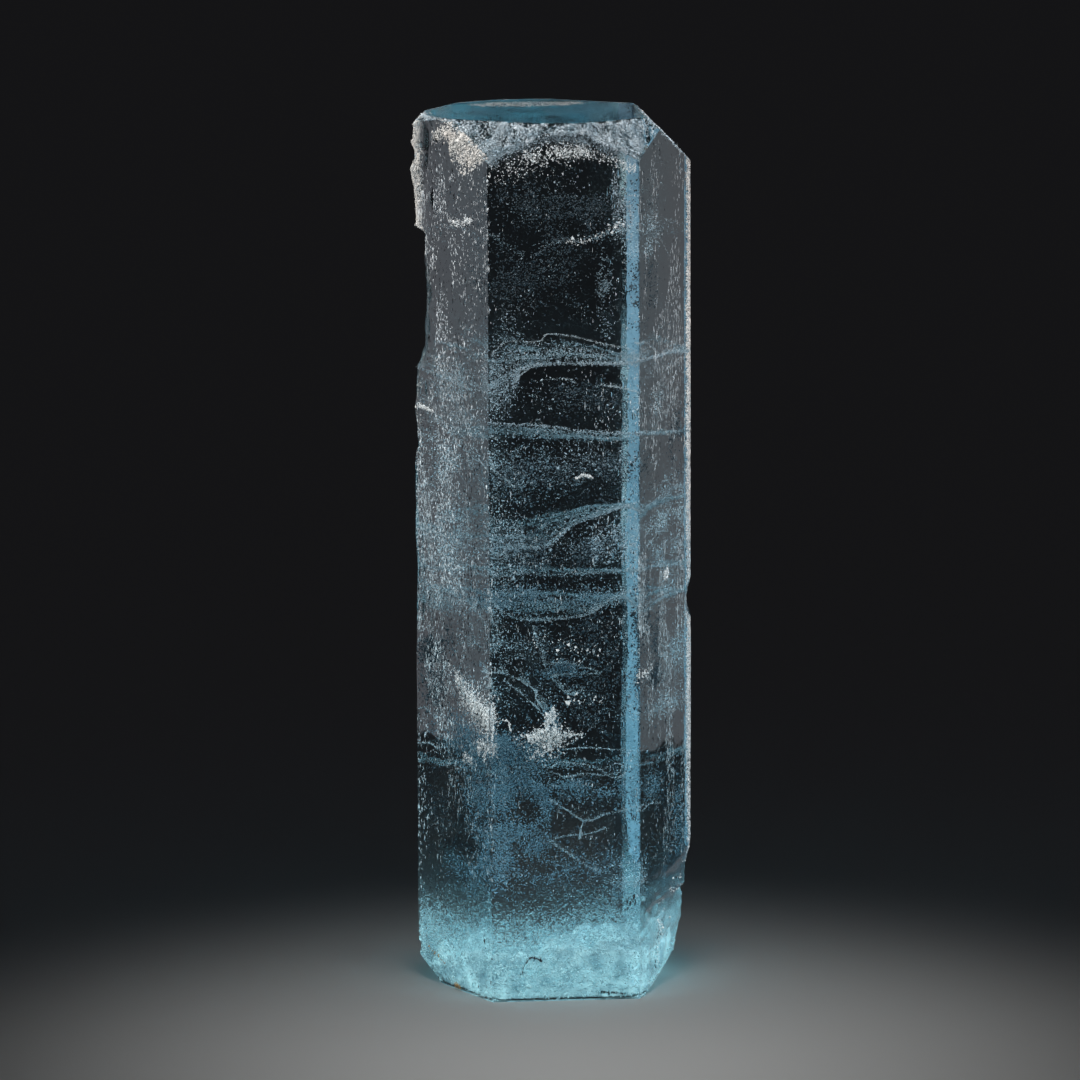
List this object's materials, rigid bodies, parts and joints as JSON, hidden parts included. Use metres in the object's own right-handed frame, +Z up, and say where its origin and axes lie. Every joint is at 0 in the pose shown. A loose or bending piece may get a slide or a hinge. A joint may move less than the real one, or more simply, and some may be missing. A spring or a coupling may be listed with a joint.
{
  "type": "aquamarine crystal",
  "caption": "Pale blue six-sided natural crystal that stands on its broken flat foot, with bevelled corners round a flat top.",
  "frame": {"origin": "middle of the bounding box's underside, on the flat base", "axes": "+Z up along the prism, with the widest prism face towards -Y and the broken edge of the foot towards +X"},
  "size_m": [0.024, 0.0192, 0.075],
  "materials": {
    "aquamarine": "clear natural crystal faces, frosted at the top corners, the crust and the broken foot"
  },
  "bodies": {
    "root": {"aquamarine_crystal": "aquamarine"}
  },
  "joints": []
}
